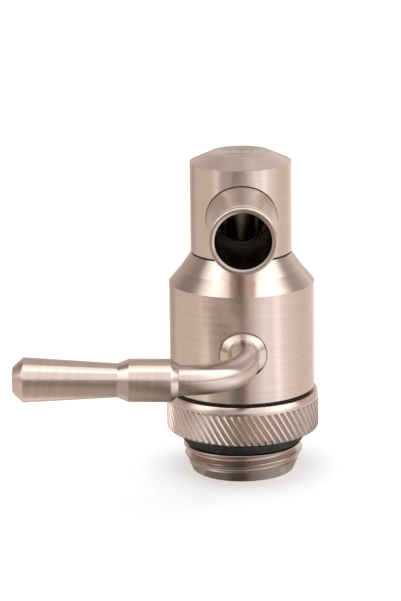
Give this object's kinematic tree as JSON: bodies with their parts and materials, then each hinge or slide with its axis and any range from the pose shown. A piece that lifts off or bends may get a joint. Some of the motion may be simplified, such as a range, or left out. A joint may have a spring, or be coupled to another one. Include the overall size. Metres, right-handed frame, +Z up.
{
  "type": "barrel tap",
  "caption": "Stainless barrel tap: quarter-turn ball valve with bent lever, swivel outlet head with short spout, and a knurled screw-in collar with seal.",
  "frame": {"origin": "centre of the thread's end face, on the barrel thread's axis", "axes": "+Z up along the thread and body axis, -Y out of the spout and the handle's hub, -X along the closed handle"},
  "size_m": [0.0521, 0.045, 0.057],
  "materials": {
    "stainless": "turned, satin",
    "black_rubber": "smooth",
    "black_washer": "matte",
    "seat_plastic": "matte"
  },
  "bodies": {
    "valve_body": {"body": "stainless", "gland": "stainless", "gland_seal": "black_rubber", "upper_ball_seat": "seat_plastic", "lower_ball_seat": "seat_plastic", "stop_screw": "stainless", "collar_slip_washer": "black_washer", "collar_bearing_seal_upper": "black_rubber", "collar_bearing_seal_lower": "black_rubber", "collar_circlip": "stainless", "head_slip_washer": "black_washer"},
    "head": {"outlet_head": "stainless", "spout": "stainless", "spout_seal": "black_rubber", "head_seal_upper": "black_rubber", "head_seal_lower": "black_rubber", "head_snap_ring": "stainless"},
    "screw_collar": {"collar": "stainless", "collar_seal": "black_rubber"},
    "handle": {"handle_stem": "stainless", "handle_grip": "stainless", "ball": "stainless", "stem_seal_outer": "black_rubber", "stem_seal_inner": "black_rubber"}
  },
  "joints": [
    {"name": "handle_turn", "type": "hinge", "parent": "valve_body", "child": "handle", "pos_m": [0, 0, 0.02395], "axis": [0, 1, 0], "range_deg": [0, 90]},
    {"name": "head_swivel", "type": "hinge", "parent": "valve_body", "child": "head", "pos_m": [0, 0, 0.0396], "axis": [0, 0, 1], "continuous": true},
    {"name": "collar_swivel", "type": "hinge", "parent": "valve_body", "child": "screw_collar", "pos_m": [0, 0, 0.0146], "axis": [0, 0, 1], "continuous": true}
  ]
}
